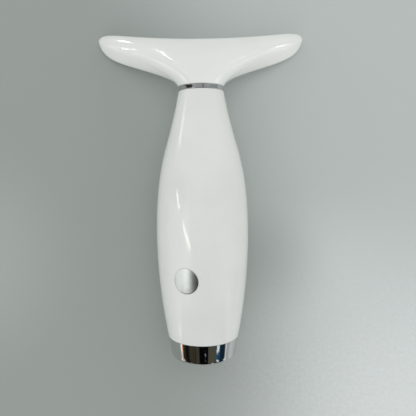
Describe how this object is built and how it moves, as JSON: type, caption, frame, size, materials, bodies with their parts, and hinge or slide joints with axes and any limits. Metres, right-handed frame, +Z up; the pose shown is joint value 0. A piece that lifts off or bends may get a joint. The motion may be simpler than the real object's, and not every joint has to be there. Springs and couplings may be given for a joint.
{
  "type": "facial and neck massager",
  "caption": "Hand-held facial and neck massager: gloss white bowling-pin handle, chrome neck ring and foot cap, and a whale-tail head with a concave polished contact plate.",
  "frame": {"origin": "centre of the resting footprint, on the surface that the massager lies on, face down", "axes": "+X across the head, +Y from the chrome foot to the head, +Z up through the back of the handle"},
  "size_m": [0.1118, 0.166, 0.0459],
  "materials": {
    "gloss_white": "gloss-lacquered white ABS",
    "button_white": "gloss white key",
    "chrome_trim": "mirror chrome plating",
    "chrome_cap": "mirror chrome plating",
    "foil": "brushed silver foil, bare",
    "clear_window": "clear light-guide plastic",
    "plate_metal": "mirror-polished contact plate",
    "heater_amber": "polyimide heater film",
    "led_cream": "light source body",
    "inner_white": "moulded inner plastic",
    "inner_grey": "moulded inner plastic",
    "board_green": "solder-masked glass fibre board",
    "black_part": "black moulded part",
    "steel": "plated steel",
    "gold_brass": "gold-plated or oiled bronze",
    "cell_wrap": "blue shrink wrap over the steel can of the cell",
    "foam": "closed-cell foam",
    "magnet": "sintered magnet",
    "armature": "copper-wound armature on a steel shaft",
    "wire_red": "silicone wire",
    "wire_yellow": "silicone wire"
  },
  "bodies": {
    "root": {"rear_handle_shell": "gloss_white", "front_handle_shell": "gloss_white", "neck_ring": "chrome_trim", "bottom_cap": "chrome_cap", "label_disc": "foil", "rear_head_shell": "gloss_white", "light_window": "clear_window", "contact_plate": "plate_metal", "heater_film": "heater_amber", "thermistor": "black_part", "led_flex": "heater_amber", "head_leds": "led_cream", "plate_carrier": "inner_white", "head_board": "board_green", "head_board_screws": "steel", "contact_pin": "gold_brass", "button_bezel": "chrome_trim", "switch_body": "steel", "mode_light_guide": "clear_window", "mode_leds": "led_cream", "main_board": "board_green", "controller_chip": "black_part", "board_parts": "black_part", "board_headers": "inner_white", "wire_plugs": "inner_white", "board_screws": "steel", "chassis": "inner_grey", "chassis_screws": "steel", "battery_cell": "cell_wrap", "battery_washers": "inner_white", "battery_tabs": "steel", "battery_pad": "foam", "end_plate": "inner_white", "charge_board": "board_green", "charge_parts": "black_part", "usb_shell": "steel", "usb_tongue": "black_part", "motor_can": "steel", "motor_cap": "inner_white", "motor_magnets": "magnet", "motor_bushes": "gold_brass", "motor_clip": "steel", "clip_screws": "steel", "battery_wires": "wire_red", "motor_wires": "wire_yellow", "head_harness": "wire_yellow", "charge_wires": "wire_red"},
    "button": {"button_cap": "button_white"},
    "plunger": {"switch_plunger": "black_part"},
    "rotor": {"motor_rotor": "armature", "motor_weight": "steel"}
  },
  "joints": [
    {"name": "button_press", "type": "slide", "parent": "root", "child": "button", "axis": [0, 0, 1], "range_m": [0, 0.0005], "stiffness_N_per_m": 2400, "springref_m": -0.00015},
    {"name": "plunger_press", "type": "slide", "parent": "root", "child": "plunger", "axis": [0, 0, 1], "range_m": [0, 0.0005]},
    {"name": "motor_spin", "type": "hinge", "parent": "root", "child": "rotor", "pos_m": [0, 0.02, 0.02295], "axis": [0, 1, 0], "continuous": true}
  ],
  "couplings": [
    {"joint": "plunger_press", "follows": "button_press", "ratio": 1}
  ]
}
